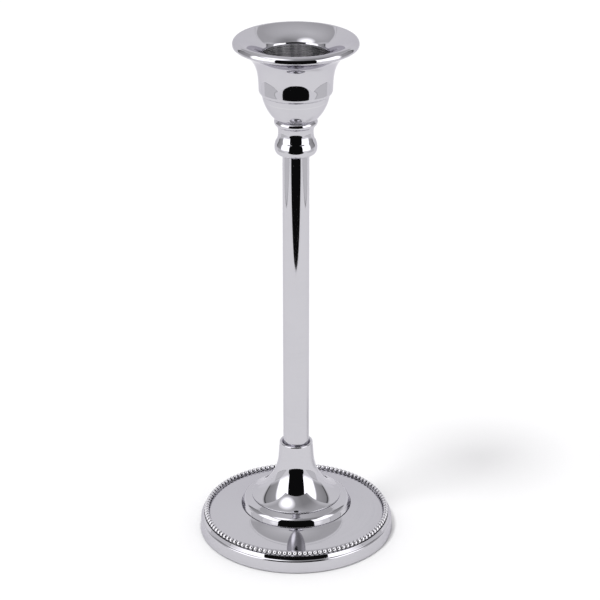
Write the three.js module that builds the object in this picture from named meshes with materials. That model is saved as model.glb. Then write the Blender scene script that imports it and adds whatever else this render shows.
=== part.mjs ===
// A polished candlestick for one dinner candle: a flared cup on a slim straight stem, a trumpet-shaped
// foot and a low round base with a beaded edge.  A long tie rod runs down the middle and clamps the
// stack together from below.
//
// Millimetres, +Z up.  The origin is the centre of the underside, where the felt meets the table, and
// the candlestick's axis is the Z axis.

import * as THREE from "three";

// ------------------------------------------------------------------ driving dimensions

const HEIGHT = 199.8;            // table to the top of the cup's lip
const CLEARANCE = 0.3;           // gap between touching pieces

// the socket that holds the candle
const SOCKET_RADIUS = 12.0;      // at its mouth, for a candle of 22 to 23 mm
const SOCKET_FOOT_RADIUS = 11.3; // at its floor
const SOCKET_FLOOR_Z = 178.6;
const SOCKET_MOUTH_Z = 195;
const LIP_RADIUS = 22.95;
const LIP_ROUNDING = 1.7;        // the rounded crest of the lip
const LIP_UNDER_Z = 197.5;       // lower corner of the lip's upright edge

// the stem and the rod inside it
const STEM_RADIUS = 4.97;
const STEM_WALL = 1.0;
const STEM_TOP_Z = 161.2;
const STEM_BOTTOM_Z = 31.3;
const ROD_RADIUS = 2.5;
const ROD_TOP_Z = 173;
const ROD_BOTTOM_Z = 1.7;
const ROD_CHAMFER = 0.5;
const ROD_HOLE_RADIUS = ROD_RADIUS + CLEARANCE;
const STEM_SOCKET_RADIUS = STEM_RADIUS + CLEARANCE;

// the turned neck between the stem and the cup
const NECK_BOTTOM_Z = 156.4;
const NECK_TOP_Z = 169.9;
const BOSS_RADIUS = 3.8;         // the boss under the cup that fills the neck

// the trumpet foot
const TRUMPET_TOP_Z = 37.5;
const TRUMPET_FOOT_Z = 14.4;
const TRUMPET_FOOT_RADIUS = 17.3;

// the ring under the trumpet
const RING_INNER_RADIUS = 13.2;
const RING_RADIUS = 21.3;
const RING_BOTTOM_Z = 10.2;
const RING_ROUNDING = 2.64;
const RING_SHOULDER_Z = 13.84;   // top of the rounding, a little below the foot
const RING_LEAN = 0.5;           // how far its side leans in below the rounding

// the base plate
const PLATE_SEAT_Z = 9.9;        // floor of the shallow recess that the ring stands in
const PLATE_RISE_Z = 10.4;       // the plate's top beside the ring
const PLATE_UNDER_Z = 8.7;
const PLATE_EDGE_RADIUS = 33.1;  // where the flared top stops at the beading
const PLATE_EDGE_Z = 7.25;
const WALL_TOP_RADIUS = 37.45;
const WALL_TOP_Z = 4.5;
const LEDGE_RADIUS = 36.85;      // inner end of the narrow ledge above the wall
const LEDGE_Z = 5.3;
const BASE_RADIUS = 37.9;
const WALL_BOTTOM_Z = 0.4;

// the beaded border
const BEAD_COUNT = 115;
const BEAD_CIRCLE_RADIUS = 35.2;
const BEAD_Z = 7.35;
const BEAD_RADIUS = 0.95;
const BEAD_NECK_RADIUS = 0.55;   // the wire between two beads

// what fills and closes the underside
const WEIGHT_RADIUS = 35.7;
const WEIGHT_BOTTOM_Z = 1.5;
const WEIGHT_TOP_Z = 8.3;
const WEB_BOTTOM_Z = 7.4;        // the web of the weight that the nut pulls on
const NUT_RECESS_RADIUS = 8.0;
const FELT_RADIUS = 36.2;
const FELT_THICKNESS = 1.2;

const WASHER = { outer: 5.0, inner: ROD_HOLE_RADIUS, bottom: 6.1, top: 7.1 };
const LOCK_WASHER = { outer: 4.6, inner: ROD_HOLE_RADIUS, bottom: 4.6, top: 5.8, split: 0.9 };
const NUT = { acrossFlats: 8.0, bore: ROD_HOLE_RADIUS, bottom: 1.6, top: 4.3 };

// facets round each kind of turned piece
const BIG_FACETS = 48;
const SLIM_FACETS = 36;
const SMALL_FACETS = 24;

// ------------------------------------------------------------------ materials

const metal = (color, roughness) =>
  new THREE.MeshStandardMaterial({ color, roughness, metalness: 1 });
const POLISHED = { cup: "#d9d8de", neck: "#d7d6dd", stem: "#d6d5dc", foot: "#d6d5dc", base: "#d4d3da" };
const IRON = "#4b4a49";
const ZINC = "#a9abae";
const FELT = new THREE.MeshStandardMaterial({ color: "#1d1f22", roughness: 0.95, metalness: 0 });

// ------------------------------------------------------------------ helpers

// A turned piece: a closed outline in (radius, height), spun about the Z axis.
function turned(outline, facets) {
  const ring = [...outline, outline[0]].map(([r, z]) => new THREE.Vector2(r, z));
  const shape = new THREE.LatheGeometry(ring, facets);
  return shape.rotateX(Math.PI / 2);
}

// Points along a Bezier curve through two handles, both ends included.
function curve(start, handle1, handle2, end, steps) {
  const v = ([r, z]) => new THREE.Vector2(r, z);
  const bezier = new THREE.CubicBezierCurve(v(start), v(handle1), v(handle2), v(end));
  return bezier.getPoints(steps).map((p) => [p.x, p.y]);
}

// Points along a circular arc in the outline, angles in degrees from the outward radius.
function arc(centreR, centreZ, radius, fromDegrees, toDegrees, steps) {
  return Array.from({ length: steps + 1 }, (_, i) => {
    const a = THREE.MathUtils.degToRad(fromDegrees + ((toDegrees - fromDegrees) * i) / steps);
    return [centreR + radius * Math.cos(a), centreZ + radius * Math.sin(a)];
  });
}

// A flat outline raised from one height to another.
function raised(shape, bottom, top, curveSegments) {
  const depth = top - bottom;
  const block = new THREE.ExtrudeGeometry(shape, { depth, bevelEnabled: false, curveSegments });
  return block.translate(0, 0, bottom);
}

const candlestick = new THREE.Group();

function add(name, geometry, material) {
  const piece = new THREE.Mesh(geometry, material);
  piece.name = name;
  candlestick.add(piece);
}

// ------------------------------------------------------------------ the cup

// A flared bell over a rounded bowl.  Inside, a flat rim rolls down like a horn into the candle's
// socket, and a boss below the bowl is drilled for the rod.
function candleCup() {
  const bossHole = ROD_TOP_Z + 1;
  const bowl = curve([8.1, 170.2], [10.2, 172.4], [11.85, 175.4], [12.42, 178.9], 5);
  const shoulder = arc(11.75, 181.0, 1.8, -62, 0, 3);
  const bell = curve([13.6, 182.5], [13.75, 189.6], [15.4, 194.0], [22.4, 197.0], 9);
  const crest = arc(LIP_RADIUS - LIP_ROUNDING, HEIGHT - LIP_ROUNDING, LIP_ROUNDING, 0, 104, 5);
  const dish = curve([20.9, 199.7], [18.45, 199.02], [14.6, 197.9], [12.6, 195.1], 6);
  return turned([
    [ROD_HOLE_RADIUS, 162.3],
    [BOSS_RADIUS, 162.3],
    [BOSS_RADIUS, 170.2],
    ...bowl,
    ...shoulder,
    ...bell,
    [LIP_RADIUS - 0.1, LIP_UNDER_Z],
    ...crest,
    ...dish,
    [SOCKET_RADIUS, SOCKET_MOUTH_Z - 0.35],
    [SOCKET_FOOT_RADIUS, SOCKET_FLOOR_Z],
    [0, SOCKET_FLOOR_Z],
    [0, bossHole],
    [ROD_HOLE_RADIUS, bossHole],
  ], BIG_FACETS);
}

// ------------------------------------------------------------------ the neck

// A bead ring, a waist and a round knop, turned in one piece.  The stem enters from below and the
// cup's boss from above.
function neckKnop() {
  const knop = curve([6.7, NECK_BOTTOM_Z], [8.25, 157.0], [8.15, 160.2], [7.1, 161.7], 5);
  const waist = curve([6.9, 162.1], [6.45, 163.4], [6.35, 165.2], [6.75, 166.3], 4);
  const beadRing = arc(6.55, 168.55, 1.45, -60, 62, 5);
  return turned([
    [STEM_SOCKET_RADIUS, NECK_BOTTOM_Z],
    ...knop,
    ...waist,
    ...beadRing,
    [7.1, NECK_TOP_Z],
    [BOSS_RADIUS + CLEARANCE, NECK_TOP_Z],
    [BOSS_RADIUS + CLEARANCE, STEM_TOP_Z + CLEARANCE],
    [STEM_SOCKET_RADIUS, STEM_TOP_Z + CLEARANCE],
  ], SLIM_FACETS);
}

// ------------------------------------------------------------------ the stem and its rod

function stemTube() {
  return turned([
    [STEM_RADIUS - STEM_WALL, STEM_BOTTOM_Z],
    [STEM_RADIUS, STEM_BOTTOM_Z],
    [STEM_RADIUS, STEM_TOP_Z],
    [STEM_RADIUS - STEM_WALL, STEM_TOP_Z],
  ], SLIM_FACETS);
}

function tieRod() {
  return turned([
    [0, ROD_BOTTOM_Z],
    [ROD_RADIUS - ROD_CHAMFER, ROD_BOTTOM_Z],
    [ROD_RADIUS, ROD_BOTTOM_Z + ROD_CHAMFER],
    [ROD_RADIUS, ROD_TOP_Z - ROD_CHAMFER],
    [ROD_RADIUS - ROD_CHAMFER, ROD_TOP_Z],
    [0, ROD_TOP_Z],
  ], SMALL_FACETS);
}

// ------------------------------------------------------------------ the foot

// The stem stands in a socket in the trumpet's mouth; below a thick web the trumpet is hollow.
function baseTrumpet() {
  const webTop = STEM_BOTTOM_Z - CLEARANCE;
  const flare = curve([TRUMPET_FOOT_RADIUS, 14.8], [11.4, 17.9], [7.15, 24.4], [6.8, 31.5], 9);
  const mouth = arc(5.85, TRUMPET_TOP_Z - 0.55, 0.55, 0, 180, 4);
  const hollow = curve([5.0, 23.2], [6.2, 20.4], [9.4, 17.2], [15.2, TRUMPET_FOOT_Z], 4);
  return turned([
    [TRUMPET_FOOT_RADIUS, TRUMPET_FOOT_Z],
    ...flare,
    ...mouth,
    [STEM_SOCKET_RADIUS, webTop],
    [ROD_HOLE_RADIUS, webTop],
    [ROD_HOLE_RADIUS, 25.0],
    ...hollow,
  ], BIG_FACETS);
}

// The half-round step between the trumpet and the plate.
function baseRing() {
  const top = TRUMPET_FOOT_Z - CLEARANCE;
  const centreZ = RING_SHOULDER_Z - RING_ROUNDING;
  const centreRadius = RING_RADIUS - RING_LEAN - RING_ROUNDING;
  const roll = arc(centreRadius, centreZ, RING_ROUNDING, 16, 76, 5);
  return turned([
    [RING_INNER_RADIUS, RING_BOTTOM_Z],
    [RING_RADIUS, RING_BOTTOM_Z],
    ...roll,
    [17.5, top],
    [RING_INNER_RADIUS, top],
  ], BIG_FACETS);
}

// A thin disc whose top flares down from the ring, with a channel for the beading, a narrow ledge and
// a turned-down wall.
function basePlate() {
  const outerChannel = BEAD_CIRCLE_RADIUS + BEAD_RADIUS + CLEARANCE;
  const innerChannel = BEAD_CIRCLE_RADIUS - BEAD_RADIUS - CLEARANCE;
  const channelFloor = BEAD_Z - BEAD_RADIUS - CLEARANCE;
  const recess = RING_RADIUS + CLEARANCE;
  const wallTop = [WALL_TOP_RADIUS, WALL_TOP_Z];
  const ledge = [LEDGE_RADIUS, LEDGE_Z];
  const flareEdge = [PLATE_EDGE_RADIUS, PLATE_EDGE_Z];
  const edgeRoll = curve(wallTop, [37.4, 4.9], [37.2, 5.15], ledge, 3);
  const flare = curve(flareEdge, [29.2, 7.9], [24.3, 8.7], [recess, PLATE_RISE_Z], 6);
  const underside = curve([20.9, PLATE_UNDER_Z], [24.2, 7.3], [28.8, 6.3], [33.0, 5.6], 4);
  return turned([
    [BASE_RADIUS, WALL_BOTTOM_Z],
    ...edgeRoll,
    [outerChannel, 6.6],
    [outerChannel, channelFloor],
    [innerChannel, channelFloor],
    [innerChannel, 6.9],
    ...flare,
    [recess, PLATE_SEAT_Z],
    [ROD_HOLE_RADIUS, PLATE_SEAT_Z],
    [ROD_HOLE_RADIUS, PLATE_UNDER_Z],
    ...underside,
    [36.1, 4.4],
    [36.6, WALL_BOTTOM_Z],
  ], BIG_FACETS);
}

// A wire rolled into round beads and closed into a hoop.  It steps from the middle of one bead to
// the neck beside it and on to the next bead.
function beadBorder() {
  const sides = 6;
  const steps = BEAD_COUNT * 2;
  const points = [];
  const faces = [];
  for (let i = 0; i < steps; i++) {
    const around = (i / steps) * Math.PI * 2;
    const radius = i % 2 === 0 ? BEAD_RADIUS : BEAD_NECK_RADIUS;
    for (let j = 0; j < sides; j++) {
      const turn = (j / sides) * Math.PI * 2;
      const out = BEAD_CIRCLE_RADIUS + radius * Math.cos(turn);
      points.push(out * Math.cos(around), out * Math.sin(around), BEAD_Z + radius * Math.sin(turn));
      const here = i * sides + j;
      const up = i * sides + ((j + 1) % sides);
      const on = ((i + 1) % steps) * sides + j;
      const onUp = ((i + 1) % steps) * sides + ((j + 1) % sides);
      faces.push(here, on, onUp, here, onUp, up);
    }
  }
  const hoop = new THREE.BufferGeometry();
  hoop.setAttribute("position", new THREE.Float32BufferAttribute(points, 3));
  hoop.setIndex(faces);
  hoop.computeVertexNormals();
  return hoop;
}

// ------------------------------------------------------------------ under the base

// A heavy disc that fills the hollow under the plate, recessed below for the nut.
function baseWeight() {
  return turned([
    [NUT_RECESS_RADIUS, WEIGHT_BOTTOM_Z],
    [WEIGHT_RADIUS, WEIGHT_BOTTOM_Z],
    [WEIGHT_RADIUS - 0.1, 3.9],
    [32.6, 5.2],
    [28.6, 5.85],
    [24.2, 6.85],
    [20.3, WEIGHT_TOP_Z],
    [ROD_HOLE_RADIUS, WEIGHT_TOP_Z],
    [ROD_HOLE_RADIUS, WEB_BOTTOM_Z],
    [NUT_RECESS_RADIUS, WEB_BOTTOM_Z],
  ], BIG_FACETS);
}

function clampWasher() {
  const { outer, inner, bottom, top } = WASHER;
  return turned([[inner, bottom], [outer, bottom], [outer, top], [inner, top]], SMALL_FACETS);
}

// A spring washer: a flat ring with one narrow split.
function lockWasher() {
  const { outer, inner, bottom, top, split } = LOCK_WASHER;
  const half = split / 2;
  const outerGap = Math.asin(half / outer);
  const innerGap = Math.asin(half / inner);
  const shape = new THREE.Shape();
  shape.absarc(0, 0, outer, outerGap, Math.PI * 2 - outerGap, false);
  shape.absarc(0, 0, inner, Math.PI * 2 - innerGap, innerGap, true);
  shape.closePath();
  return raised(shape, bottom, top, SMALL_FACETS);
}

function baseNut() {
  const corner = NUT.acrossFlats / Math.sqrt(3);
  const corners = Array.from({ length: 6 }, (_, i) => {
    const a = (i * Math.PI) / 3;
    return new THREE.Vector2(corner * Math.cos(a), corner * Math.sin(a));
  });
  const shape = new THREE.Shape(corners);
  const bore = new THREE.Path();
  bore.absarc(0, 0, NUT.bore, 0, Math.PI * 2, true);
  shape.holes.push(bore);
  return raised(shape, NUT.bottom, NUT.top, SMALL_FACETS);
}

function feltPad() {
  return turned([[0, 0], [FELT_RADIUS, 0], [FELT_RADIUS, FELT_THICKNESS], [0, FELT_THICKNESS]], BIG_FACETS);
}

// ------------------------------------------------------------------ assembly, top to bottom

add("candle_cup", candleCup(), metal(POLISHED.cup, 0.06));
add("neck_knop", neckKnop(), metal(POLISHED.neck, 0.05));
add("stem_tube", stemTube(), metal(POLISHED.stem, 0.08));
add("tie_rod", tieRod(), metal(ZINC, 0.4));
add("base_trumpet", baseTrumpet(), metal(POLISHED.foot, 0.05));
add("base_ring", baseRing(), metal(POLISHED.foot, 0.05));
add("base_plate", basePlate(), metal(POLISHED.base, 0.1));
add("bead_border", beadBorder(), metal(POLISHED.base, 0.12));
add("base_weight", baseWeight(), metal(IRON, 0.7));
add("clamp_washer", clampWasher(), metal(ZINC, 0.4));
add("lock_washer", lockWasher(), metal(ZINC, 0.45));
add("base_nut", baseNut(), metal(ZINC, 0.4));
add("felt_pad", feltPad(), FELT);

export default candlestick;
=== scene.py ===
"""A polished candlestick for one dinner candle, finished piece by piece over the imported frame.

Outlines are in millimetres, (radius, height) from the candlestick's axis and the table, and are
turned on a Geometry Nodes lathe. Blender objects are in metres.
"""

import math

import bmesh
import bpy
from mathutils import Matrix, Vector


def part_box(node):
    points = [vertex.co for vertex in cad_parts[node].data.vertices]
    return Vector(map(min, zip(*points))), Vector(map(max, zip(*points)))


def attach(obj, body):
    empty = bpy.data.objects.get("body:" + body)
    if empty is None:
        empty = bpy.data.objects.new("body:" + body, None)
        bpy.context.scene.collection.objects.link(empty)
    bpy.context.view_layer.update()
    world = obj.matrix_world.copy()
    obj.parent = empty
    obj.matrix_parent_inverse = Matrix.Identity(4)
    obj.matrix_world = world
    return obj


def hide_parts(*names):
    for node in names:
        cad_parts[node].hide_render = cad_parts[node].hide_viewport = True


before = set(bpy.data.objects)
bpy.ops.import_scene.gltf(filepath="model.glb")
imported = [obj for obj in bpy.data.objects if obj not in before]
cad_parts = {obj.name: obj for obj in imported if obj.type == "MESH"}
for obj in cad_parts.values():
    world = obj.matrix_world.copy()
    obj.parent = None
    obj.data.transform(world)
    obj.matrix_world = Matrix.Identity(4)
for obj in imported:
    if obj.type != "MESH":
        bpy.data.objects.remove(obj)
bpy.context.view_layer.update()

MM = 0.001


def radius_of(node):
    """Largest radius of a CAD node, in millimetres."""
    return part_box(node)[1].x / MM


def bottom_of(node):
    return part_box(node)[0].z / MM


def top_of(node):
    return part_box(node)[1].z / MM


# ---------------------------------------------------------------- sizes read from the frame

LIP_RADIUS = radius_of("candle_cup")
LIP_TOP = top_of("candle_cup")
STEM_RADIUS = radius_of("stem_tube")
STEM_TOP = top_of("stem_tube")
STEM_BOTTOM = bottom_of("stem_tube")
NECK_BOTTOM = bottom_of("neck_knop")
MOUTH_TOP = top_of("base_trumpet")
FOOT_BOTTOM = bottom_of("base_trumpet")
FOOT_RADIUS = radius_of("base_trumpet")
RING_RADIUS = radius_of("base_ring")
RING_BOTTOM = bottom_of("base_ring")
BASE_RADIUS = radius_of("base_plate")
WALL_BOTTOM = bottom_of("base_plate")
ROD_RADIUS = radius_of("tie_rod")
ROD_TOP = top_of("tie_rod")
ROD_BOTTOM = bottom_of("tie_rod")
FELT_RADIUS = radius_of("felt_pad")
FELT_TOP = top_of("felt_pad")
WEIGHT_RADIUS = radius_of("base_weight")
WEIGHT_BOTTOM = bottom_of("base_weight")
WEIGHT_TOP = top_of("base_weight")

BEAD_RADIUS = 0.95
BEAD_COUNT = 115
BEAD_CIRCLE = radius_of("bead_border") - BEAD_RADIUS
BEAD_HEIGHT = (top_of("bead_border") + bottom_of("bead_border")) / 2

SLIDE = 0.06            # the gap left between two seated pieces
ROD_HOLE = ROD_RADIUS + 0.3
WASHER_HOLE = ROD_HOLE - 0.1
STEM_SOCKET = STEM_RADIUS + SLIDE

# ---------------------------------------------------------------- sizes that the frame doesn't give

SOCKET_FLOOR = 178.6    # where the candle stands
SOCKET_FLOOR_RADIUS = 11.3
SOCKET_MOUTH_RADIUS = 12.05
LIP_ROUNDING = 1.7
BOSS_RADIUS = 3.8       # the boss under the cup, which the rod screws into
BOSS_BOTTOM = 162.3
BOWL_BOTTOM = 170.2
ROD_HOLE_TOP = 174
STEM_WALL = 1.0
RING_INNER = 13.2
RING_ROUNDING = 2.64
RING_SHOULDER = 13.84   # height of the top of the ring's round edge
RING_LEAN = 0.5         # how far the round edge stands in from the ring's foot
PLATE_UNDER = 8.7
PLATE_RISE = 10.4       # height where the sweep meets the ring
CHANNEL_FLOOR = 6.1     # the bottom of the groove that the beading lies in
CHANNEL_EDGE = 6.35
CHANNEL_SLACK = 0.07
WIRE_RADIUS = 0.55
NUT_RECESS_RADIUS = 8.0
NUT_RECESS_TOP = 7.4
THREAD_PITCH = 0.8
WASHER_EASE = 0.09

# ---------------------------------------------------------------- outlines


def bezier(start, handle1, handle2, end, steps=60):
    """Points along a cubic curve, both ends included."""
    points = []
    for i in range(steps + 1):
        t = i / steps
        u = 1 - t
        weights = (u * u * u, 3 * u * u * t, 3 * u * t * t, t * t * t)
        corners = (start, handle1, handle2, end)
        points.append(tuple(sum(w * c[k] for w, c in zip(weights, corners)) for k in (0, 1)))
    return points


def arc(centre, radius, from_degrees, to_degrees, steps=24):
    """Points along a circular arc; angles are measured from the outward radius."""
    points = []
    for i in range(steps + 1):
        a = math.radians(from_degrees + (to_degrees - from_degrees) * i / steps)
        points.append((centre[0] + radius * math.cos(a), centre[1] + radius * math.sin(a)))
    return points


def evenly(points, step, closed):
    """The same outline as points a fixed step apart."""
    chain = points + [points[0]] if closed else points
    result = []
    for (r0, z0), (r1, z1) in zip(chain, chain[1:]):
        count = max(1, round(math.hypot(r1 - r0, z1 - z0) / step))
        result += [(r0 + (r1 - r0) * i / count, z0 + (z1 - z0) * i / count) for i in range(count)]
    if not closed:
        result.append(chain[-1])
    return result


def eased(points, ease, closed):
    """Rounds every edge by about the ease, the way a polishing wheel does.

    A closed outline comes back to its start. An open one begins and ends on the axis, so there it
    is mirrored across the axis.
    """
    fine = evenly(points, ease / 3, closed)
    reach, spread = 6, 2.4      # in points along the fine outline
    weights = [math.exp(-0.5 * (k / spread) ** 2) for k in range(-reach, reach + 1)]
    total = sum(weights)
    count = len(fine)

    def at(i):
        if closed:
            return fine[i % count]
        if i < 0:
            return (-fine[-i][0], fine[-i][1])
        if i >= count:
            return (-fine[2 * count - 2 - i][0], fine[2 * count - 2 - i][1])
        return fine[i]

    result = []
    for i in range(count):
        near = [at(i + k) for k in range(-reach, reach + 1)]
        result.append(tuple(sum(w * p[k] for w, p in zip(weights, near)) / total for k in (0, 1)))
    if not closed:
        result[0] = (0.0, result[0][1])
        result[-1] = (0.0, result[-1][1])
    return result


def thinned(points, closed, bend=math.radians(8), sag=0.0012, longest=6.0):
    """Keeps the points an outline needs: few on straight runs, many round a bend."""
    kept = [points[0]]
    heading = None
    turned_by = 0.0
    run = 0.0
    for here, ahead in zip(points, points[1:]):
        direction = math.atan2(ahead[1] - here[1], ahead[0] - here[0])
        if heading is not None:
            turn = (direction - heading + math.pi) % (2 * math.pi) - math.pi
            turned_by += abs(turn)
        heading = direction
        if run > 0 and (turned_by > bend or run * turned_by / 8 > sag or run > longest):
            kept.append(here)
            turned_by = 0.0
            run = 0.0
        run += math.hypot(ahead[0] - here[0], ahead[1] - here[1])
    if not closed:
        kept.append(points[-1])
    return kept


# ---------------------------------------------------------------- geometry node trees


def new_tree(name, inputs):
    """An empty geometry tree with a Geometry input and output and the named inputs."""
    tree = bpy.data.node_groups.new(name, "GeometryNodeTree")
    tree.interface.new_socket("Geometry", in_out="INPUT", socket_type="NodeSocketGeometry")
    for label, kind in inputs:
        tree.interface.new_socket(label, in_out="INPUT", socket_type=kind)
    tree.interface.new_socket("Geometry", in_out="OUTPUT", socket_type="NodeSocketGeometry")
    return tree, tree.nodes.new("NodeGroupInput"), tree.nodes.new("NodeGroupOutput")


def node(tree, kind, links=None, **settings):
    """Adds a node. Links maps an input to a socket or to a plain value."""
    made = tree.nodes.new(kind)
    for key, value in settings.items():
        setattr(made, key, value)
    for key, value in (links or {}).items():
        if isinstance(value, bpy.types.NodeSocket):
            tree.links.new(value, made.inputs[key])
        else:
            made.inputs[key].default_value = value
    return made


def finish_tree(tree, geometry, material, group_out, smooth=True):
    """Shades the result smooth where asked, makes instances real and gives it its material."""
    if smooth:
        geometry = node(tree, "GeometryNodeSetShadeSmooth", {"Geometry": geometry}).outputs[0]
    real = node(tree, "GeometryNodeRealizeInstances", {"Geometry": geometry})
    dressed = node(tree, "GeometryNodeSetMaterial", {"Geometry": real.outputs[0], "Material": material})
    tree.links.new(dressed.outputs[0], group_out.inputs[0])


def lathe_tree():
    """Sweeps an outline once round the axis. The outline hangs from a circle of the swing radius."""
    tree, given, result = new_tree("lathe", [
        ("Facets", "NodeSocketInt"), ("Swing", "NodeSocketFloat"), ("Material", "NodeSocketMaterial")])
    outline = node(tree, "GeometryNodeMeshToCurve", {"Mesh": given.outputs["Geometry"]})
    circle = node(tree, "GeometryNodeCurvePrimitiveCircle",
                  {"Resolution": given.outputs["Facets"], "Radius": given.outputs["Swing"]})
    upright = node(tree, "GeometryNodeSetCurveNormal", {"Curve": circle.outputs["Curve"]}, mode="Z_UP")
    sweep = node(tree, "GeometryNodeCurveToMesh",
                 {"Curve": upright.outputs["Curve"], "Profile Curve": outline.outputs["Curve"]})
    closed = node(tree, "GeometryNodeMergeByDistance",
                  {"Geometry": sweep.outputs["Mesh"], "Distance": 1e-6})
    finish_tree(tree, closed.outputs["Geometry"], given.outputs["Material"], result)
    return tree


def bead_tree():
    """A hoop of wire with round beads set on it at equal steps."""
    tree, given, result = new_tree("beading", [
        ("Beads", "NodeSocketInt"), ("Circle", "NodeSocketFloat"), ("Height", "NodeSocketFloat"),
        ("Bead radius", "NodeSocketFloat"), ("Wire radius", "NodeSocketFloat"),
        ("Material", "NodeSocketMaterial")])
    ring = node(tree, "GeometryNodeMeshCircle",
                {"Vertices": given.outputs["Beads"], "Radius": given.outputs["Circle"]})
    bead = node(tree, "GeometryNodeMeshUVSphere",
                {"Segments": 12, "Rings": 8, "Radius": given.outputs["Bead radius"]})
    beads = node(tree, "GeometryNodeInstanceOnPoints",
                 {"Points": ring.outputs["Mesh"], "Instance": bead.outputs["Mesh"]})
    path = node(tree, "GeometryNodeCurvePrimitiveCircle",
                {"Resolution": 2 * BEAD_COUNT, "Radius": given.outputs["Circle"]})
    section = node(tree, "GeometryNodeCurvePrimitiveCircle",
                   {"Resolution": 10, "Radius": given.outputs["Wire radius"]})
    wire = node(tree, "GeometryNodeCurveToMesh",
                {"Curve": path.outputs["Curve"], "Profile Curve": section.outputs["Curve"]})
    both = tree.nodes.new("GeometryNodeJoinGeometry")
    tree.links.new(wire.outputs["Mesh"], both.inputs[0])
    tree.links.new(beads.outputs["Instances"], both.inputs[0])
    offset = node(tree, "ShaderNodeCombineXYZ", {"Z": given.outputs["Height"]})
    lifted = node(tree, "GeometryNodeTransform",
                  {"Geometry": both.outputs[0], "Translation": offset.outputs[0]})
    finish_tree(tree, lifted.outputs[0], given.outputs["Material"], result)
    return tree


def thread_tree():
    """A screw thread: a sharp ridge wound along a helix."""
    tree, given, result = new_tree("thread", [
        ("Turns", "NodeSocketFloat"), ("Pitch", "NodeSocketFloat"), ("Radius", "NodeSocketFloat"),
        ("Bottom", "NodeSocketFloat"), ("Ridge", "NodeSocketFloat"), ("Material", "NodeSocketMaterial")])
    height = node(tree, "ShaderNodeMath",
                  {0: given.outputs["Turns"], 1: given.outputs["Pitch"]}, operation="MULTIPLY")
    helix = node(tree, "GeometryNodeCurveSpiral",
                 {"Resolution": 32, "Rotations": given.outputs["Turns"],
                  "Start Radius": given.outputs["Radius"], "End Radius": given.outputs["Radius"],
                  "Height": height.outputs[0]})
    upright = node(tree, "GeometryNodeSetCurveNormal", {"Curve": helix.outputs["Curve"]}, mode="Z_UP")
    ridge = node(tree, "GeometryNodeCurvePrimitiveCircle",
                 {"Resolution": 4, "Radius": given.outputs["Ridge"]})
    wound = node(tree, "GeometryNodeCurveToMesh",
                 {"Curve": upright.outputs["Curve"], "Profile Curve": ridge.outputs["Curve"],
                  "Fill Caps": True})
    offset = node(tree, "ShaderNodeCombineXYZ", {"Z": given.outputs["Bottom"]})
    lifted = node(tree, "GeometryNodeTransform",
                  {"Geometry": wound.outputs[0], "Translation": offset.outputs[0]})
    finish_tree(tree, lifted.outputs[0], given.outputs["Material"], result, smooth=False)
    return tree


LATHE = lathe_tree()
BEADING = bead_tree()
THREAD = thread_tree()


def grown(mesh, tree, values):
    """Runs a tree on a mesh and returns the plain mesh that comes out."""
    blank = bpy.data.objects.new("blank", mesh)
    bpy.context.scene.collection.objects.link(blank)
    modifier = blank.modifiers.new("tree", "NODES")
    modifier.node_group = tree
    identifiers = {item.name: item.identifier for item in tree.interface.items_tree
                   if item.in_out == "INPUT"}
    for name, value in values.items():
        modifier[identifiers[name]] = value
    evaluated = blank.evaluated_get(bpy.context.evaluated_depsgraph_get())
    made = bpy.data.meshes.new_from_object(evaluated)
    blank.modifiers.clear()
    bpy.data.objects.remove(blank)
    return made


def facing_out(mesh):
    """Turns the faces of a closed mesh outwards."""
    work = bmesh.new()
    work.from_mesh(mesh)
    bmesh.ops.recalc_face_normals(work, faces=work.faces)
    if work.calc_volume(signed=True) < 0:
        bmesh.ops.reverse_faces(work, faces=work.faces)
    work.to_mesh(mesh)
    work.free()
    return mesh


def turned_mesh(outline, facets, material, ease, closed):
    """A turned piece from its outline in millimetres, as a mesh in metres."""
    points = thinned(eased(outline, ease, closed), closed)
    swing = 0.05        # metres; wider than any outline, so that the lathe never folds over itself
    flat = bpy.data.meshes.new("outline")
    corners = [(r * MM - swing, -z * MM, 0) for r, z in points]
    edges = [(i, i + 1) for i in range(len(points) - 1)]
    if closed:
        edges.append((len(points) - 1, 0))
    flat.from_pydata(corners, edges, [])
    made = grown(flat, LATHE, {"Facets": facets, "Swing": swing, "Material": material})
    return facing_out(made)


def placed(name, mesh, node_name):
    """Puts a finished mesh in the scene in place of its CAD node."""
    mesh.name = name
    piece = bpy.data.objects.new(name, mesh)
    bpy.context.scene.collection.objects.link(piece)
    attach(piece, "root")
    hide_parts(node_name)
    return piece


# ---------------------------------------------------------------- materials


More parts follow.
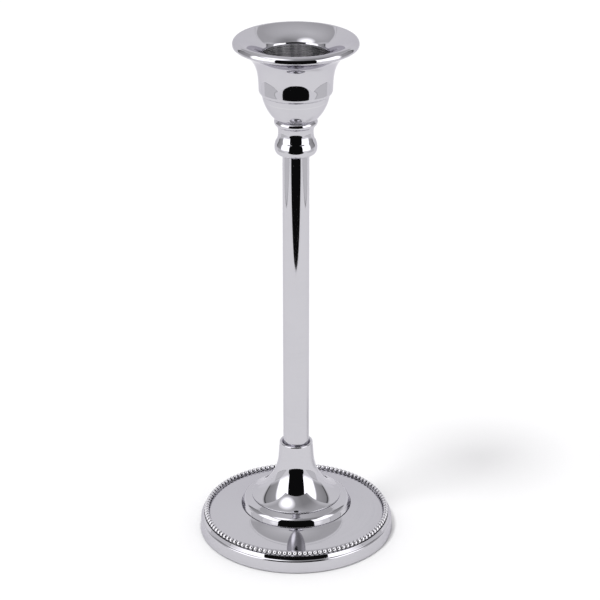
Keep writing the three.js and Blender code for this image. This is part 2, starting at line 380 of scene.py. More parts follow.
class Finish:
    """A material under construction, with short ways to add and join its nodes."""

    def __init__(self, name):
        self.material = bpy.data.materials.new(name)
        self.material.use_nodes = True
        self.tree = self.material.node_tree
        self.shader = self.tree.nodes["Principled BSDF"]
        self.coords = self.add("ShaderNodeTexCoord").outputs["Object"]
        self.parts = self.add("ShaderNodeSeparateXYZ", {0: self.coords})

    def add(self, kind, links=None, **settings):
        return node(self.tree, kind, links, **settings)

    def math(self, operation, a, b=0.0):
        return self.add("ShaderNodeMath", {0: a, 1: b}, operation=operation).outputs[0]

    def radius(self):
        """Distance from the axis, in metres."""
        flat = self.add("ShaderNodeVectorMath", {0: self.coords, 1: (1, 1, 0)}, operation="MULTIPLY")
        return self.add("ShaderNodeVectorMath", {0: flat.outputs[0]}, operation="LENGTH").outputs["Value"]

    def height(self):
        return self.parts.outputs["Z"]

    def noise(self, scale, detail=2.0, vector=None, roughness=0.5):
        made = self.add("ShaderNodeTexNoise", {
            "Vector": vector or self.coords, "Scale": scale, "Detail": detail, "Roughness": roughness})
        return made.outputs["Fac"]

    def ranged(self, value, from_low, from_high, to_low, to_high):
        return self.add("ShaderNodeMapRange", {
            "Value": value, "From Min": from_low, "From Max": from_high,
            "To Min": to_low, "To Max": to_high}).outputs["Result"]

    def blend_colours(self, factor, a, b):
        return self.add("ShaderNodeMix", {0: factor, 6: a, 7: b}, data_type="RGBA").outputs[2]

    def blend_values(self, factor, a, b):
        return self.add("ShaderNodeMix", {0: factor, 2: a, 3: b}, data_type="FLOAT").outputs[0]

    def bump(self, height, distance, strength=1.0, under=None):
        links = {"Height": height, "Distance": distance, "Strength": strength}
        if under is not None:
            links["Normal"] = under
        return self.add("ShaderNodeBump", links).outputs["Normal"]

    def around(self, fine, drift):
        """Coordinates for marks that run round the axis, and drift slowly as they go."""
        r = self.math("MULTIPLY", self.radius(), fine)
        z = self.math("MULTIPLY", self.height(), fine)
        x = self.math("MULTIPLY", self.parts.outputs["X"], drift)
        mixed = self.add("ShaderNodeCombineXYZ", {"X": r, "Y": z, "Z": x})
        return mixed.outputs[0]

    def to(self, **sockets):
        """Sets or links the shader's own sockets."""
        for name, value in sockets.items():
            socket = self.shader.inputs[name.replace("_", " ")]
            if isinstance(value, bpy.types.NodeSocket):
                self.tree.links.new(value, socket)
            else:
                socket.default_value = value
        return self.material


CHROME = (0.575, 0.568, 0.600, 1.0)
PLATING_AT_A_SLANT = (0.80, 0.79, 0.82, 1.0)


def darkened(tint, share):
    return tuple(c * share for c in tint[:3]) + (1.0,)


def polished(name, tint, gloss, haze, marks):
    """Bright plating over polished metal.

    Gloss is the roughness of the clean surface, haze how much the buffing leaves behind, and marks
    the depth in metres of the fine rings that turning and buffing leave round the axis.
    """
    f = Finish(name)
    cloud = f.noise(46.0, 4.0)
    rings = f.noise(1.0, 3.0, f.around(5200.0, 60.0))
    wiped = f.noise(1.0, 2.0, f.around(900.0, 130.0))
    specks = f.add("ShaderNodeTexVoronoi", {"Vector": f.coords, "Scale": 420.0}).outputs["Distance"]
    speck = f.ranged(specks, 0.02, 0.07, 1.0, 0.0)
    smear = f.math("MULTIPLY", f.ranged(cloud, 0.45, 0.75, 0.0, 1.0),
                   f.ranged(wiped, 0.35, 0.7, 0.2, 1.0))
    rough = f.blend_values(smear, gloss, gloss + haze)
    rough = f.blend_values(speck, rough, gloss + 0.25)
    colour = f.blend_colours(f.math("MULTIPLY", smear, 0.8), tint, darkened(tint, 0.93))
    normal = f.bump(rings, marks)
    normal = f.bump(f.noise(150.0, 2.0), marks * 6, 1.0, normal)
    return f.to(Base_Color=colour, Metallic=1.0, Roughness=rough, Normal=normal,
                Specular_Tint=PLATING_AT_A_SLANT)


def cup_finish():
    """Polished plating outside and on the dish, fine turning marks down the bored socket, and painted
    reflection: light and dark upright bands in the colour of the socket wall.
    """
    f = Finish("polished_cup")
    cloud = f.noise(60.0, 4.0)
    rings = f.noise(1.0, 3.0, f.around(5200.0, 60.0))
    bored = f.noise(1.0, 2.5, f.around(2600.0, 18.0), 0.7)
    inside = f.ranged(f.radius(), 12.02 * MM, 12.12 * MM, 1.0, 0.0)
    above = f.ranged(f.height(), 177.0 * MM, 177.5 * MM, 0.0, 1.0)
    socket = f.math("MULTIPLY", inside, above)
    smear = f.ranged(cloud, 0.45, 0.75, 0.0, 1.0)
    clean = f.blend_values(smear, 0.03, 0.07)
    scored = f.ranged(bored, 0.3, 0.7, 0.16, 0.34)
    rough = f.blend_values(socket, clean, scored)
    bright = f.blend_colours(f.math("MULTIPLY", smear, 0.8), CHROME, darkened(CHROME, 0.92))
    # Painted reflection: upright light and dark bands in the socket wall's colour, standing in for the
    # streaked reflections in the bore; the turning marks darken it a little too.
    band_coords = f.add("ShaderNodeMapping", {"Vector": f.coords, "Scale": (330.0, 330.0, 12.0)})
    painted_reflection_streak = f.ranged(f.noise(1.0, 1.5, band_coords.outputs[0]), 0.36, 0.62, 0.25, 1.0)
    on_wall = f.ranged(f.height(), 178.8 * MM, 180.0 * MM, 0.0, 1.0)
    painted_reflection_streak = f.blend_values(on_wall, 0.75, painted_reflection_streak)
    painted_bands_and_marks = f.math("MULTIPLY", painted_reflection_streak, f.ranged(bored, 0.3, 0.7, 0.75, 1.0))
    dull = f.blend_colours(painted_bands_and_marks, (0.30, 0.30, 0.315, 1.0), (1.0, 0.995, 1.0, 1.0))
    colour = f.blend_colours(socket, bright, dull)
    outside = f.bump(rings, 2e-7)
    normal = f.bump(f.math("MULTIPLY", bored, socket), 2.2e-5, 1.0, outside)
    return f.to(Base_Color=colour, Metallic=1.0, Roughness=rough, Normal=normal,
                Specular_Tint=PLATING_AT_A_SLANT)


def bead_finish():
    """Plating that is bright on the crests, with painted shade, near black and rougher, under the beads
    and in the gaps between them.
    """
    f = Finish("polished_beads")
    low = f.ranged(f.height(), (BEAD_HEIGHT - 0.75) * MM, (BEAD_HEIGHT - 0.1) * MM, 1.0, 0.0)
    turn = f.math("ARCTAN2", f.parts.outputs["Y"], f.parts.outputs["X"])
    step = f.math("FRACT", f.math("MULTIPLY", turn, BEAD_COUNT / (2 * math.pi)))
    from_gap = f.math("ABSOLUTE", f.math("SUBTRACT", step, 0.5))
    gap = f.ranged(from_gap, 0.10, 0.24, 1.0, 0.0)
    grain = f.noise(700.0, 3.0)
    # Painted shade: the colour goes near black low on the beads and in the gaps between them, and the
    # roughness rises there.
    painted_shade = f.math("MULTIPLY", f.math("MAXIMUM", low, gap), f.ranged(grain, 0.3, 0.7, 0.7, 1.0))
    colour = f.blend_colours(painted_shade, (0.86, 0.85, 0.88, 1.0), (0.03, 0.03, 0.033, 1.0))
    rough = f.blend_values(painted_shade, 0.10, 0.45)
    rough = f.blend_values(f.ranged(grain, 0.5, 0.8, 0.0, 0.4), rough, 0.2)
    normal = f.bump(f.noise(1500.0, 2.0), 4e-6)
    return f.to(Base_Color=colour, Metallic=1.0, Roughness=rough, Normal=normal,
                Specular_Tint=PLATING_AT_A_SLANT)


def zinc_finish(name, tint, gloss, along):
    """Machined steel: turning lines along one way, a cloudy plate and a few dark scuffs."""
    f = Finish(name)
    cloud = f.noise(240.0, 5.0)
    stretched = f.add("ShaderNodeMapping", {"Vector": f.coords, "Scale": along})
    lines = f.noise(1.0, 3.0, stretched.outputs[0])
    crystals = f.add("ShaderNodeTexVoronoi", {"Vector": f.coords, "Scale": 900.0}).outputs["Color"]
    scuff = f.ranged(f.noise(520.0, 4.0), 0.6, 0.72, 0.0, 1.0)
    warm = tuple(c * k for c, k in zip(tint[:3], (1.06, 1.0, 0.88))) + (1.0,)
    colour = f.blend_colours(f.ranged(cloud, 0.35, 0.65, 0.0, 1.0), tint, warm)
    colour = f.blend_colours(f.math("MULTIPLY", scuff, 0.6), colour, darkened(tint, 0.45))
    rough = f.blend_values(cloud, gloss, gloss + 0.2)
    spangle = f.add("ShaderNodeRGBToBW", {0: crystals}).outputs[0]
    rough = f.blend_values(f.math("MULTIPLY", spangle, 0.3), rough, gloss + 0.3)
    normal = f.bump(lines, 1.5e-5)
    normal = f.bump(scuff, 8e-6, 1.0, normal)
    return f.to(Base_Color=colour, Metallic=1.0, Roughness=rough, Normal=normal)


def cast_iron_finish():
    """A sand casting: pebbled skin with rust in its pits, faced bright underneath."""
    f = Finish("cast_weight")
    pebble = f.noise(900.0, 6.0, roughness=0.65)
    lumps = f.noise(160.0, 3.0)
    rust = f.ranged(f.noise(210.0, 5.0), 0.52, 0.68, 0.0, 1.0)
    skin = f.blend_colours(pebble, (0.035, 0.034, 0.033, 1.0), (0.12, 0.118, 0.115, 1.0))
    skin = f.blend_colours(f.math("MULTIPLY", rust, 0.7), skin, (0.17, 0.065, 0.025, 1.0))
    faced = f.ranged(f.height(), (WEIGHT_BOTTOM + 0.05) * MM, (WEIGHT_BOTTOM + 0.2) * MM, 1.0, 0.0)
    cut = f.noise(1.0, 2.0, f.around(3600.0, 20.0))
    bright = f.blend_colours(cut, (0.20, 0.198, 0.195, 1.0), (0.36, 0.355, 0.35, 1.0))
    colour = f.blend_colours(faced, skin, bright)
    rough = f.blend_values(faced, f.ranged(pebble, 0.3, 0.7, 0.65, 0.9),
                           f.ranged(cut, 0.3, 0.7, 0.3, 0.5))
    rough_skin = f.bump(pebble, 1.6e-4)
    rough_skin = f.bump(lumps, 3.5e-4, 1.0, rough_skin)
    normal = f.bump(f.math("MULTIPLY", cut, faced), 3e-5, 1.0, rough_skin)
    return f.to(Base_Color=colour, Metallic=0.75, Roughness=rough, Normal=normal)


def felt_finish():
    """Pressed wool: matted fibres in two directions, flecks of paler wool and a soft nap."""
    f = Finish("dark_felt")
    one = f.add("ShaderNodeMapping", {
        "Vector": f.coords, "Scale": (2600, 420, 900), "Rotation": (0, 0, 0.5)})
    two = f.add("ShaderNodeMapping", {
        "Vector": f.coords, "Scale": (380, 2400, 900), "Rotation": (0, 0, -0.3)})
    lengthwise = f.noise(1.0, 4.0, one.outputs[0], 0.7)
    crosswise = f.noise(1.0, 4.0, two.outputs[0], 0.7)
    mat = f.math("MAXIMUM", lengthwise, crosswise)
    patch = f.noise(120.0, 3.0)
    fleck = f.ranged(f.noise(2100.0, 2.0), 0.66, 0.72, 0.0, 1.0)
    colour = f.blend_colours(mat, (0.006, 0.007, 0.008, 1.0), (0.030, 0.032, 0.037, 1.0))
    colour = f.blend_colours(f.math("MULTIPLY", patch, 0.35), colour, (0.017, 0.019, 0.024, 1.0))
    colour = f.blend_colours(f.math("MULTIPLY", fleck, 0.5), colour, (0.10, 0.10, 0.105, 1.0))
    normal = f.bump(mat, 1.8e-4)
    normal = f.bump(patch, 3e-4, 1.0, normal)
    return f.to(Base_Color=colour, Roughness=f.ranged(mat, 0.3, 0.8, 0.85, 1.0), Normal=normal,
                Sheen_Weight=0.35, Sheen_Roughness=0.5)


def floor_finish():
    """Matt white paper."""
    f = Finish("studio_paper")
    tooth = f.noise(900.0, 2.0)
    colour = f.blend_colours(tooth, (0.86, 0.86, 0.86, 1.0), (0.88, 0.88, 0.88, 1.0))
    return f.to(Base_Color=colour, Roughness=1.0, Specular_IOR_Level=0.0)


# ---------------------------------------------------------------- the candlestick's pieces


def make_candle_cup():
    bowl = bezier((8.1, BOWL_BOTTOM), (10.2, 172.4), (11.85, 175.4), (12.42, 178.9))
    shoulder = arc((11.75, 181.0), 1.8, -62, 0)
    bell = bezier((13.6, 182.5), (13.75, 189.6), (15.4, 194.0), (22.4, 197.0), 90)
    crest = arc((LIP_RADIUS - LIP_ROUNDING, LIP_TOP - LIP_ROUNDING), LIP_ROUNDING, 0, 104)
    dish = bezier((20.8, 199.72), (18.45, 199.04), (14.6, 197.9), (12.6, 195.2), 90)
    under_lip = [(LIP_RADIUS - 0.08, 197.45), (LIP_RADIUS, 197.6)]
    outline = [(0, ROD_HOLE_TOP), (ROD_HOLE, ROD_HOLE_TOP), (ROD_HOLE, BOSS_BOTTOM),
               (BOSS_RADIUS, BOSS_BOTTOM), (BOSS_RADIUS, BOWL_BOTTOM),
               *bowl, *shoulder, *bell, *under_lip, *crest,
               *dish, (12.3, 194.8), (SOCKET_MOUTH_RADIUS, 194.2),
               (SOCKET_FLOOR_RADIUS, SOCKET_FLOOR), (0, SOCKET_FLOOR)]
    mesh = turned_mesh(outline, facets=256, material=cup_finish(), ease=0.12, closed=False)
    placed("cup_bell", mesh, "candle_cup")


def make_neck_knop():
    knop = bezier((6.7, NECK_BOTTOM), (8.25, 157.0), (8.15, 160.2), (7.1, 161.7))
    waist = bezier((6.9, 162.1), (6.45, 163.4), (6.35, 165.2), (6.75, 166.3))
    bead_ring = arc((6.55, 168.55), 1.45, -60, 62)
    top = BOWL_BOTTOM - 0.1
    boss_hole = 4.1
    outline = [(STEM_SOCKET, NECK_BOTTOM), *knop, *waist, *bead_ring, (7.1, top), (boss_hole, top),
               (boss_hole, STEM_TOP + SLIDE), (STEM_SOCKET, STEM_TOP + SLIDE)]
    finish = polished("polished_neck", CHROME, gloss=0.03, haze=0.04, marks=2e-7)
    mesh = turned_mesh(outline, facets=192, material=finish, ease=0.12, closed=True)
    placed("neck_spool", mesh, "neck_knop")


def make_stem():
    bore = STEM_RADIUS - STEM_WALL
    outline = [(bore, STEM_BOTTOM), (STEM_RADIUS, STEM_BOTTOM), (STEM_RADIUS, STEM_TOP), (bore, STEM_TOP)]
    finish = polished("polished_stem", CHROME, gloss=0.035, haze=0.04, marks=2e-7)
    mesh = turned_mesh(outline, facets=160, material=finish, ease=0.15, closed=True)
    placed("stem", mesh, "stem_tube")


def make_trumpet(finish):
    flare = bezier((FOOT_RADIUS, 14.8), (11.4, 17.9), (7.15, 24.4), (6.8, 31.5), 90)
    mouth_rounding = 0.55
    mouth = arc((5.85, MOUTH_TOP - mouth_rounding), mouth_rounding, 0, 150)
    hollow = bezier((5.0, 23.2), (6.2, 20.4), (9.4, 17.2), (15.2, FOOT_BOTTOM))
    web = STEM_BOTTOM - SLIDE
    outline = [(FOOT_RADIUS, FOOT_BOTTOM), *flare, *mouth, (STEM_SOCKET, MOUTH_TOP - 0.6),
               (STEM_SOCKET, web), (ROD_HOLE, web), (ROD_HOLE, 25.0), *hollow]
    mesh = turned_mesh(outline, facets=224, material=finish, ease=0.12, closed=True)
    placed("foot_trumpet", mesh, "base_trumpet")


def make_ring(finish):
    top = FOOT_BOTTOM - SLIDE
    roll = arc((RING_RADIUS - RING_LEAN - RING_ROUNDING, RING_SHOULDER - RING_ROUNDING), RING_ROUNDING,
               16, 74, 40)
    bottom = RING_BOTTOM - 0.24
    outline = [(RING_INNER, bottom), (RING_RADIUS - 0.25, bottom), (RING_RADIUS, bottom + 0.55),
               *roll, (17.5, top), (RING_INNER, top)]
    mesh = turned_mesh(outline, facets=256, material=finish, ease=0.1, closed=True)
    placed("step_ring", mesh, "base_ring")


def make_plate():
    seat = RING_BOTTOM - 0.3
    recess = RING_RADIUS + 0.08
    outer = BEAD_CIRCLE + BEAD_RADIUS + CHANNEL_SLACK
    inner = BEAD_CIRCLE - BEAD_RADIUS - CHANNEL_SLACK
    roll = bezier((37.45, 4.5), (37.4, 4.9), (37.2, 5.15), (36.85, 5.3))
    flare = bezier((33.1, 7.25), (29.2, 7.9), (24.3, 8.7), (recess + 0.1, PLATE_RISE), 90)
    under = bezier((20.9, PLATE_UNDER), (24.2, 7.3), (28.8, 6.3), (33.0, 5.6))
    channel = [(outer, 6.6), (outer, CHANNEL_EDGE), (BEAD_CIRCLE, CHANNEL_FLOOR),
               (inner, CHANNEL_EDGE), (inner, 6.95)]
    outline = [(BASE_RADIUS, WALL_BOTTOM), *roll, *channel, *flare, (recess, PLATE_RISE - 0.15),
               (recess, seat), (ROD_HOLE, seat), (ROD_HOLE, PLATE_UNDER), *under,
               (36.1, 4.4), (36.6, WALL_BOTTOM)]
    finish = polished("polished_base", CHROME, gloss=0.04, haze=0.06, marks=3e-7)
    mesh = turned_mesh(outline, facets=320, material=finish, ease=0.1, closed=True)
    placed("base_dome", mesh, "base_plate")


def make_beading():
    blank = bpy.data.meshes.new("blank")
    mesh = grown(blank, BEADING, {
        "Beads": BEAD_COUNT, "Circle": BEAD_CIRCLE * MM, "Height": BEAD_HEIGHT * MM,
        "Bead radius": BEAD_RADIUS * MM, "Wire radius": WIRE_RADIUS * MM, "Material": bead_finish()})
    placed("beading", mesh, "bead_border")


def joined(meshes):
    """One mesh out of several."""
    work = bmesh.new()
    for mesh in meshes:
        work.from_mesh(mesh)
    result = bpy.data.meshes.new("joined")
    work.to_mesh(result)
    work.free()
    for material in meshes[0].materials:
        result.materials.append(material)
    return result


def thread(turns, radius, bottom, ridge, finish):
    """A length of screw thread, from sizes in millimetres."""
    return grown(bpy.data.meshes.new("blank"), THREAD, {
        "Turns": turns, "Pitch": THREAD_PITCH * MM, "Radius": radius * MM,
        "Bottom": bottom * MM, "Ridge": ridge * MM, "Material": finish})


def make_tie_rod():
    finish = zinc_finish("zinc_rod", (0.42, 0.425, 0.44, 1.0), 0.25, (600, 600, 5200))
    core = ROD_RADIUS - 0.45
    shank = ROD_RADIUS - 0.12
    tip = core - 0.3
    shank_bottom, shank_top = 20.5, 157
    outline = [(0, ROD_BOTTOM), (tip, ROD_BOTTOM), (core, ROD_BOTTOM + 0.4), (core, shank_bottom - 0.5),
               (shank, shank_bottom), (shank, shank_top), (core, shank_top + 0.5), (core, ROD_TOP - 0.4),
               (tip, ROD_TOP), (0, ROD_TOP)]
    body = turned_mesh(outline, facets=64, material=finish, ease=0.1, closed=False)
    threads = [thread(turns, core - 0.02, bottom, 0.44, finish)
               for turns, bottom in ((21.5, ROD_BOTTOM + 0.6), (18.0, shank_top + 1.0))]
    placed("tie_rod_threaded", joined([body, *threads]), "tie_rod")


def make_weight():
    slope = [(32.6, 5.2), (28.6, 6.1), (24.2, 7.2)]
    outline = [(NUT_RECESS_RADIUS, WEIGHT_BOTTOM), (WEIGHT_RADIUS, WEIGHT_BOTTOM),
               (WEIGHT_RADIUS - 0.1, 3.9), *slope, (20.3, WEIGHT_TOP), (ROD_HOLE, WEIGHT_TOP),
               (ROD_HOLE, NUT_RECESS_TOP), (NUT_RECESS_RADIUS, NUT_RECESS_TOP)]
    mesh = turned_mesh(outline, facets=160, material=cast_iron_finish(), ease=0.3, closed=True)
    placed("iron_weight", mesh, "base_weight")


def make_washer():
    low, high = bottom_of("clamp_washer"), top_of("clamp_washer")
    outer = radius_of("clamp_washer")
    finish = zinc_finish("zinc_washer", (0.45, 0.455, 0.47, 1.0), 0.28, (1500, 1500, 400))
    outline = [(WASHER_HOLE, low), (outer, low), (outer, high), (WASHER_HOLE, high)]
    mesh = turned_mesh(outline, facets=96, material=finish, ease=WASHER_EASE, closed=True)
    placed("flat_washer", mesh, "clamp_washer")


def swept(sections, closed):
    """A ring through a row of sections, each an angle and an outline. An open one gets two ends."""
    work = bmesh.new()
    rings = [[work.verts.new((r * math.cos(angle) * MM, r * math.sin(angle) * MM, z * MM))
              for r, z in outline] for angle, outline in sections]
    pairs = list(zip(rings, rings[1:]))
    if closed:
        pairs.append((rings[-1], rings[0]))
    for one, two in pairs:
        for j in range(len(one)):
            k = (j + 1) % len(one)
            work.faces.new((one[j], two[j], two[k], one[k]))
    if not closed:
        work.faces.new(list(reversed(rings[0])))
        work.faces.new(rings[-1])
    bmesh.ops.recalc_face_normals(work, faces=work.faces)
    mesh = bpy.data.meshes.new("swept")
    work.to_mesh(mesh)
    work.free()
    return mesh


def make_lock_washer():
    """A split ring of square wire whose two ends stand a little apart in height."""
    low, high = bottom_of("lock_washer"), top_of("lock_washer")
    outer, inner = radius_of("lock_washer"), WASHER_HOLE
    rise = 0.25
    split = math.radians(12)
    steps = 120
    ease = WASHER_EASE
    sections = []
    for i in range(steps + 1):
        t = i / steps
        lift = rise * (t - 0.5)
        z0, z1 = low + rise / 2 + lift, high - rise / 2 + lift
        outline = [(inner, z0 + ease), (inner + ease, z0), (outer - ease, z0), (outer, z0 + ease),
                   (outer, z1 - ease), (outer - ease, z1), (inner + ease, z1), (inner, z1 - ease)]
        sections.append((split / 2 + (2 * math.pi - split) * t, outline))
    mesh = swept(sections, closed=False)
    mesh.materials.append(zinc_finish("spring_steel", (0.16, 0.162, 0.17, 1.0), 0.3, (1400, 1400, 500)))
    placed("spring_washer", mesh, "lock_washer")


def make_nut():
    """A hexagon with turned chamfers, so that each flat ends in a curved edge."""
    low, high = bottom_of("base_nut"), top_of("base_nut")
    half_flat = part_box("base_nut")[1].y / MM
    face_radius = half_flat - 0.12
    hole, mouth = ROD_HOLE, 0.3
    slope = math.tan(math.radians(30))
    steps = 144
    sections = []
    for i in range(steps):
        a = 2 * math.pi * i / steps
        from_flat = (a + math.pi / 3) % (math.pi / 3) - math.pi / 6
        out = half_flat / math.cos(from_flat)
        drop = (out - face_radius) * slope
        sections.append((a, [
            (hole + mouth, low), (face_radius, low), (out, low + drop), (out, high - drop),
            (face_radius, high), (hole + mouth, high), (hole, high - mouth), (hole, low + mouth)]))
    mesh = swept(sections, closed=True)
    finish = zinc_finish("zinc_nut", (0.43, 0.435, 0.45, 1.0), 0.26, (700, 700, 3000))
    mesh.materials.append(finish)
    inner = thread(2.8, hole + 0.05, low + 0.25, 0.2, finish)
    placed("hex_nut", joined([mesh, inner]), "base_nut")


def make_felt():
    outline = [(0, 0), (FELT_RADIUS, 0), (FELT_RADIUS, FELT_TOP), (0, FELT_TOP)]
    mesh = turned_mesh(outline, facets=192, material=felt_finish(), ease=0.25, closed=False)
    placed("felt_disc", mesh, "felt_pad")


foot_finish = polished("polished_foot", CHROME, gloss=0.03, haze=0.04, marks=2e-7)
make_candle_cup()
make_neck_knop()
make_stem()
make_trumpet(foot_finish)
make_ring(foot_finish)
make_plate()
make_beading()
make_tie_rod()
make_weight()
make_washer()
make_lock_washer()
make_nut()
make_felt()

# ---------------------------------------------------------------- studio, in metres

TENT_SIDE = 0.345       # from the axis to each side wall of the light tent
TENT_FRONT = 0.320
TENT_BACK = 0.315       # where the roof meets the hanging back sheet
TENT_ROOF = 0.435
DOOR = 0.240            # half the width of the opening in front
SHEET_FRONT = 0.262     # near edge of the white sheet under the candlestick
GREY_CLOTH = 0.92
BRIGHT = 2.2
TABLE_LIGHT = 1.0       # the cloth low down is as bright as the table
TABLE_LIGHT_TOP = 0.075     # between these two heights the cloth turns to its full light
FULL_LIGHT = 0.125
DARK = 0.006
SEAM = 0.19             # where the side wall meets the back sheet, behind the axis
HAIR = 0.0006           # how far the card before the sheet lies above the table
BACK_SHEET_HALF = 0.6
BACK_SHEET_FOOT = 0.75  # where the sloping back sheet meets the table
WALL_BACK = 0.7         # far end of the side walls

FLOOR_REACH = 6.0
ROOM_COLOUR = (0.99, 0.985, 1.0, 1.0)
ROOM_LIGHT = 0.87
KEY_DIRECTION = (0.36, 0.26, -0.90)
KEY_SPREAD = math.radians(13)
KEY_LIGHT = 1.2

SENSOR_WIDTH = 36.0     # millimetres, as is the lens
LENS_LENGTH = 133.4     # the camera's place is in metres
CAMERA_PLACE = (0.0015, -0.7663, 0.4406)
CAMERA_TILT = math.radians(24.144)      # below level


def cloth(name, recipe):
    """Tent cloth that glows by itself. The recipe returns how much light comes through."""
    f = Finish(name)
    return f.to(Base_Color=(0.0, 0.0, 0.0, 1.0), Roughness=1.0, Specular_IOR_Level=0.0,
                Emission_Color=(0.985, 0.98, 1.0, 1.0), Emission_Strength=recipe(f))


def card(name, corners, material):
    """A flat sheet that only shows in the polished metal. Corners are in metres."""
    mesh = bpy.data.meshes.new(name)
    mesh.from_pydata(corners, [], [tuple(range(len(corners)))])
    mesh.materials.append(material)
    made = bpy.data.objects.new(name, mesh)
    bpy.context.scene.collection.objects.link(made)
    made.visible_camera = False
    made.visible_diffuse = False
    made.visible_shadow = False
    return made


def upright(x0, y0, x1, y1, low, high):
    """Corners of a card standing on a line across the table."""
    return [(x0, y0, low), (x1, y1, low), (x1, y1, high), (x0, y0, high)]


def level(half_width, y0, y1, height):
    """Corners of a card lying flat at a height."""
    return [(-half_width, y0, height), (half_width, y0, height),
            (half_width, y1, height), (-half_width, y1, height)]


def side_wall(f):
    """White behind the lamps in front, grey further back, a dark seam, then the pale back sheet.

    Near the table the cloth is only as bright as the table, with a grey sliver along its foot.
    """
    sideways = f.math("ABSOLUTE", f.parts.outputs["X"])
    along = f.math("MULTIPLY", f.math("DIVIDE", f.parts.outputs["Y"], sideways), TENT_SIDE)
    up = f.parts.outputs["Z"]
    lamp = f.ranged(along, -0.06, -0.02, 1.0, 0.0)
    grey = f.ranged(along, -0.02, 0.20, 0.52, 0.34)
    beyond = f.ranged(along, SEAM, 0.24, 0.0, 1.0)
    seam = f.ranged(f.math("ABSOLUTE", f.math("SUBTRACT", along, SEAM)), 0.008, 0.022, 1.0, 0.0)
    light = f.blend_values(beyond, grey, GREY_CLOTH)
    light = f.blend_values(seam, light, 0.12)
    light = f.blend_values(lamp, light, BRIGHT)
    light = f.blend_values(f.ranged(up, TABLE_LIGHT_TOP, FULL_LIGHT, 1.0, 0.0), light, TABLE_LIGHT)
    height = f.ranged(along, -0.23, -0.05, 0.0, 0.080)
    sliver = f.math("MULTIPLY", height, f.ranged(along, 0.12, 0.15, 1.0, 0.0))
    above = f.math("SUBTRACT", up, sliver)
    fold = f.ranged(above, -0.007, -0.003, 0.80, 0.38)
    fold = f.blend_values(f.ranged(up, 0.0, 0.004, 1.0, 0.0), fold, 0.35)
    return f.blend_values(f.ranged(above, -0.003, 0.0, 1.0, 0.0), light, fold)


def distance_from(f, place):
    return f.add("ShaderNodeVectorMath", {0: f.coords, 1: place}, operation="DISTANCE").outputs["Value"]


def roof(f):
    """Grey cloth with a soft bright patch where the overhead lamp is, front left."""
    x, y = f.parts.outputs["X"], f.parts.outputs["Y"]
    patch = f.ranged(distance_from(f, (-0.155, -0.145, TENT_ROOF)), 0.065, 0.15, 1.0, 0.0)
    shaded = f.ranged(x, -0.10, 0.10, 0.0, 1.0)
    front = f.ranged(y, -0.12, 0.05, 1.0, 0.0)
    grey = f.blend_values(f.math("MULTIPLY", shaded, front), 0.58, 0.34)
    middle = f.ranged(distance_from(f, (-0.05, 0.08, TENT_ROOF)), 0.0, 0.2, 0.22, 0.0)
    side = f.ranged(f.math("ABSOLUTE", x), 0.26, 0.32, 0.0, 0.2)
    grey = f.math("ADD", f.math("ADD", grey, middle), side)
    from_hem = f.math("ABSOLUTE", f.math("SUBTRACT", y, TENT_BACK - 0.012))
    hem = f.ranged(from_hem, 0.004, 0.012, 1.0, 0.0)
    grey = f.blend_values(hem, grey, 0.95)
    return f.blend_values(patch, grey, BRIGHT)


def ellipse(f, across, along, half_width, half_height):
    """1 inside an ellipse, 0 outside it."""
    wide = f.math("POWER", f.math("DIVIDE", across, half_width), 2.0)
    tall = f.math("POWER", f.math("DIVIDE", along, half_height), 2.0)
    return f.ranged(f.math("ADD", wide, tall), 0.94, 1.0, 1.0, 0.0)


def front_cloth(f):
    """The white front of the tent with its dark opening: a round arch low down, a slot above it."""
    across, up = f.math("ABSOLUTE", f.parts.outputs["X"]), f.parts.outputs["Z"]
    low = ellipse(f, across, f.math("SUBTRACT", up, 0.026), half_width=0.295, half_height=0.080)
    high = f.ranged(up, 0.03, 0.04, 0.0, 1.0)
    slot = f.math("MULTIPLY", f.ranged(across, DOOR - 0.006, DOOR, 1.0, 0.0), high)
    light = f.ranged(up, TABLE_LIGHT_TOP, FULL_LIGHT, TABLE_LIGHT, BRIGHT)
    return f.blend_values(f.math("MAXIMUM", low, slot), light, DARK)


def front_gap(f):
    """The table past the sheet's near edge, where the arch of the opening goes on."""
    back = f.math("ADD", f.parts.outputs["Y"], TENT_FRONT)
    arch = ellipse(f, f.parts.outputs["X"], back, half_width=0.278, half_height=0.062)
    return f.blend_values(arch, TABLE_LIGHT, DARK)


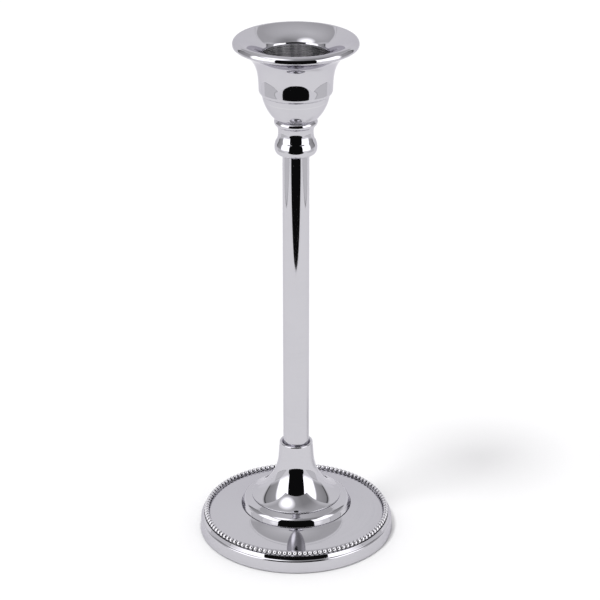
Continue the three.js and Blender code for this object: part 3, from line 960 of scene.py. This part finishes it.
def make_tent():
    """A white light tent round the candlestick, seen only in the reflections."""
    wall = cloth("tent_side", side_wall)
    card("tent_roof", level(TENT_SIDE, -TENT_FRONT, TENT_BACK, TENT_ROOF), cloth("tent_roof", roof))
    for side, hand in ((-1, "left"), (1, "right")):
        x = side * TENT_SIDE
        card("tent_wall_" + hand, upright(x, -TENT_FRONT, x, WALL_BACK, 0.0, TENT_ROOF), wall)
    card("tent_front", upright(-TENT_SIDE, -TENT_FRONT, TENT_SIDE, -TENT_FRONT, 0.0, TENT_ROOF),
         cloth("tent_front", front_cloth))
    card("before_sheet", level(TENT_SIDE, -SHEET_FRONT, -TENT_FRONT, HAIR), cloth("front_gap", front_gap))
    wide = BACK_SHEET_HALF
    card("back_sheet", [(-wide, TENT_BACK, TENT_ROOF), (wide, TENT_BACK, TENT_ROOF),
                        (wide, BACK_SHEET_FOOT, 0.0), (-wide, BACK_SHEET_FOOT, 0.0)],
         cloth("back_sheet", lambda f: GREY_CLOTH))


def make_floor():
    mesh = bpy.data.meshes.new("floor")
    mesh.from_pydata(level(FLOOR_REACH, -FLOOR_REACH, FLOOR_REACH, 0), [], [(0, 1, 2, 3)])
    mesh.materials.append(floor_finish())
    floor = bpy.data.objects.new("floor", mesh)
    bpy.context.scene.collection.objects.link(floor)


def make_world():
    """The even light that the white room gives from all sides."""
    world = bpy.data.worlds.new("studio")
    world.use_nodes = True
    background = world.node_tree.nodes["Background"]
    background.inputs["Color"].default_value = ROOM_COLOUR
    background.inputs["Strength"].default_value = ROOM_LIGHT
    bpy.context.scene.world = world


def make_key_lamp():
    """A high lamp at the front left, for the short soft shadow. It doesn't show in the metal."""
    lamp = bpy.data.lights.new("key", "SUN")
    lamp.angle = KEY_SPREAD
    lamp.energy = KEY_LIGHT
    key = bpy.data.objects.new("key", lamp)
    key.rotation_euler = Vector(KEY_DIRECTION).to_track_quat("-Z", "Y").to_euler()
    key.visible_glossy = False
    bpy.context.scene.collection.objects.link(key)


def make_camera():
    lens = bpy.data.cameras.new("camera")
    lens.sensor_width = SENSOR_WIDTH
    lens.lens = LENS_LENGTH
    camera = bpy.data.objects.new("camera", lens)
    camera.location = CAMERA_PLACE
    camera.rotation_euler = (math.radians(90) - CAMERA_TILT, 0, 0)
    bpy.context.scene.collection.objects.link(camera)
    bpy.context.scene.camera = camera


make_floor()
make_tent()
make_world()
make_key_lamp()
make_camera()
bpy.context.scene.view_settings.view_transform = "Standard"
